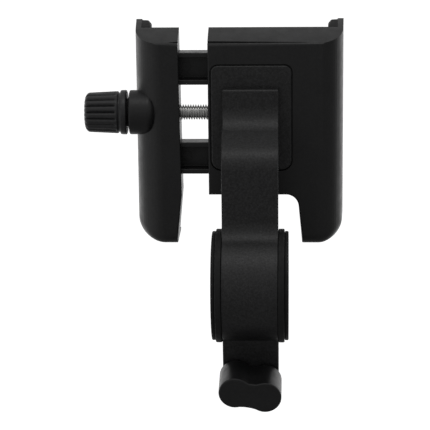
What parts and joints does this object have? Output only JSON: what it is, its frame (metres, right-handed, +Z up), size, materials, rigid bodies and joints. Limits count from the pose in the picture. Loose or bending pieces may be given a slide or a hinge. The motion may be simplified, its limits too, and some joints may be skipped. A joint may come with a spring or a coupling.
{
  "type": "phone handlebar mount",
  "caption": "Phone mount for a handlebar: a split cradle widened by a side knob and lead screw, on a curved arm with a hinged ring clamp, rubber bushes and a thumb screw.",
  "frame": {"origin": "centre of the handlebar that the ring clamp holds, in the middle of the clamp's width", "axes": "+X along the handlebar towards the fixed jaw's side wall, +Y from the arm towards the phone, +Z up along the cradle"},
  "size_m": [0.1031, 0.0638, 0.1452],
  "materials": {
    "plastic": "satin moulded black, fine grain",
    "coating": "fine textured black powder coating",
    "rubber": "matte black",
    "steel": "bright plated, turned",
    "brass": "machined"
  },
  "bodies": {
    "base": {"arm_bracket": "coating", "hinge_pin": "steel", "outer_bush": "rubber", "inner_bush": "rubber", "fixed_jaw_shell": "plastic", "fixed_jaw_cover": "plastic", "fixed_jaw_back_pad": "rubber", "fixed_jaw_edge_pad": "rubber", "jaw_nut": "brass", "bracket_screw_1": "steel", "bracket_screw_2": "steel", "bracket_screw_3": "steel", "bracket_screw_4": "steel", "fixed_cover_screw_1": "steel", "fixed_cover_screw_2": "steel", "fixed_cover_screw_3": "steel", "fixed_cover_screw_4": "steel"},
    "moving_jaw": {"moving_jaw_shell": "plastic", "moving_jaw_cover": "plastic", "moving_jaw_back_pad": "rubber", "moving_jaw_edge_pad": "rubber", "upper_rail": "plastic", "lower_rail": "plastic", "upper_rail_screw": "steel", "lower_rail_screw": "steel", "moving_cover_screw_1": "steel", "moving_cover_screw_2": "steel", "thrust_washer": "plastic"},
    "knob": {"clamp_knob": "plastic", "lead_screw": "steel", "retaining_clip": "steel"},
    "gate": {"clamp_gate": "coating", "gate_nut": "steel"},
    "thumb_carrier": {"thumb_washer": "steel"},
    "thumb": {"thumb_head": "plastic", "thumb_bolt": "steel"}
  },
  "joints": [
    {"name": "knob_spin", "type": "hinge", "parent": "moving_jaw", "child": "knob", "pos_m": [-0.0494, 0.0269, 0.0641], "axis": [-1, 0, 0], "range_deg": [-3605, 5045]},
    {"name": "jaw_slide", "type": "slide", "parent": "base", "child": "moving_jaw", "axis": [-1, 0, 0], "range_m": [-0.01, 0.014]},
    {"name": "gate_hinge", "type": "hinge", "parent": "base", "child": "gate", "pos_m": [0, 0.0015, 0.0255], "axis": [1, 0, 0], "range_deg": [0, 40]},
    {"name": "thumb_spin", "type": "hinge", "parent": "thumb_carrier", "child": "thumb", "pos_m": [0, 0.00603, -0.03417], "axis": [0, -0.9848, -0.1736], "range_deg": [0, 3605]},
    {"name": "thumb_travel", "type": "slide", "parent": "base", "child": "thumb_carrier", "axis": [0, -0.9848, -0.1736], "range_m": [0, 0.008]}
  ],
  "couplings": [
    {"joint": "knob_spin", "follows": "jaw_slide", "rad_per_m": 6283.2},
    {"joint": "thumb_spin", "follows": "thumb_travel", "rad_per_m": 7854}
  ]
}
